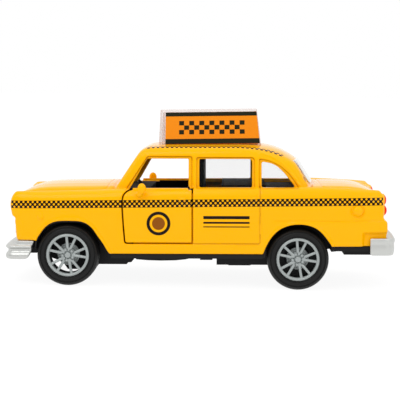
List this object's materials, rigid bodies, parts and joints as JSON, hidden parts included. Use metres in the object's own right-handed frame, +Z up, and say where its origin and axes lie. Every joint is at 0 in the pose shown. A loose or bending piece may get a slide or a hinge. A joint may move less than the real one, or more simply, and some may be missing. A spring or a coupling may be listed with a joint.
{
  "type": "friction toy taxi",
  "caption": "Friction-drive toy taxi with opening front doors, clear roof sign, plated bumpers and free-rolling wheels geared to a flywheel.",
  "frame": {"origin": "on the ground, under the middle of the car's bounding box", "axes": "+X towards the tail, the length of the car; +Y across the car towards its right-hand side; +Z up"},
  "size_m": [0.13, 0.0562, 0.0587],
  "materials": {
    "yellow_paint": "glossy taxi yellow enamel on die-cast metal",
    "black_plastic": "moulded black plastic",
    "clear_plastic": "clear moulded plastic",
    "orange_label": "orange printed label with a plain checker block",
    "silver_plating": "bright plated plastic",
    "red_lens": "red domed lens",
    "tyre_rubber": "soft black rubber-like tyre",
    "grey_plastic": "grey satin moulded wheel",
    "nylon": "natural nylon gear",
    "steel": "plain steel"
  },
  "bodies": {
    "car": {"body_shell": "yellow_paint", "left_door_hinge_pin": "steel", "right_door_hinge_pin": "steel", "chassis_base": "black_plastic", "interior_tub": "black_plastic", "steering_wheel": "black_plastic", "window_glazing": "clear_plastic", "roof_sign_housing": "clear_plastic", "left_sign_panel": "orange_label", "right_sign_panel": "orange_label", "front_bumper": "silver_plating", "rear_bumper": "silver_plating", "radiator_grille": "silver_plating", "headlamp_lenses": "clear_plastic", "left_tail_lamps": "red_lens", "right_tail_lamps": "red_lens", "motor_case": "black_plastic", "motor_cover": "black_plastic", "chassis_screws": "steel", "motor_mount_screws": "steel", "motor_screws": "steel"},
    "left_door": {"left_front_door": "yellow_paint"},
    "right_door": {"right_front_door": "yellow_paint"},
    "front_wheelset": {"front_axle": "steel", "front_left_wheel": "grey_plastic", "front_right_wheel": "grey_plastic", "front_left_tyre": "tyre_rubber", "front_right_tyre": "tyre_rubber"},
    "rear_wheelset": {"rear_axle": "steel", "rear_left_wheel": "grey_plastic", "rear_right_wheel": "grey_plastic", "rear_left_tyre": "tyre_rubber", "rear_right_tyre": "tyre_rubber", "axle_gear": "nylon"},
    "step_up": {"step_up_gear": "nylon", "step_up_shaft": "steel"},
    "flywheel_set": {"flywheel": "steel", "flywheel_pinion": "nylon", "flywheel_shaft": "steel"}
  },
  "joints": [
    {"name": "left_door_hinge", "type": "hinge", "parent": "car", "child": "left_door", "pos_m": [-0.02096, -0.0224, 0.02267], "axis": [-0.0157, 0, 0.9999], "range_deg": [-62, 0]},
    {"name": "right_door_hinge", "type": "hinge", "parent": "car", "child": "right_door", "pos_m": [-0.02096, 0.0224, 0.02267], "axis": [-0.0157, 0, 0.9999], "range_deg": [0, 62]},
    {"name": "front_wheels_spin", "type": "hinge", "parent": "car", "child": "front_wheelset", "pos_m": [-0.0433, 0, 0.0101], "axis": [0, 1, 0], "continuous": true},
    {"name": "rear_wheels_spin", "type": "hinge", "parent": "car", "child": "rear_wheelset", "pos_m": [0.0321, 0, 0.0101], "axis": [0, 1, 0], "continuous": true},
    {"name": "step_up_spin", "type": "hinge", "parent": "car", "child": "step_up", "pos_m": [0.02627, 0, 0.0136], "axis": [0, 1, 0], "continuous": true},
    {"name": "flywheel_spin", "type": "hinge", "parent": "car", "child": "flywheel_set", "pos_m": [0.01955, 0, 0.01467], "axis": [0, 1, 0], "continuous": true}
  ],
  "couplings": [
    {"joint": "step_up_spin", "follows": "flywheel_spin", "ratio": -0.41667},
    {"joint": "rear_wheels_spin", "follows": "flywheel_spin", "ratio": 0.17361}
  ]
}
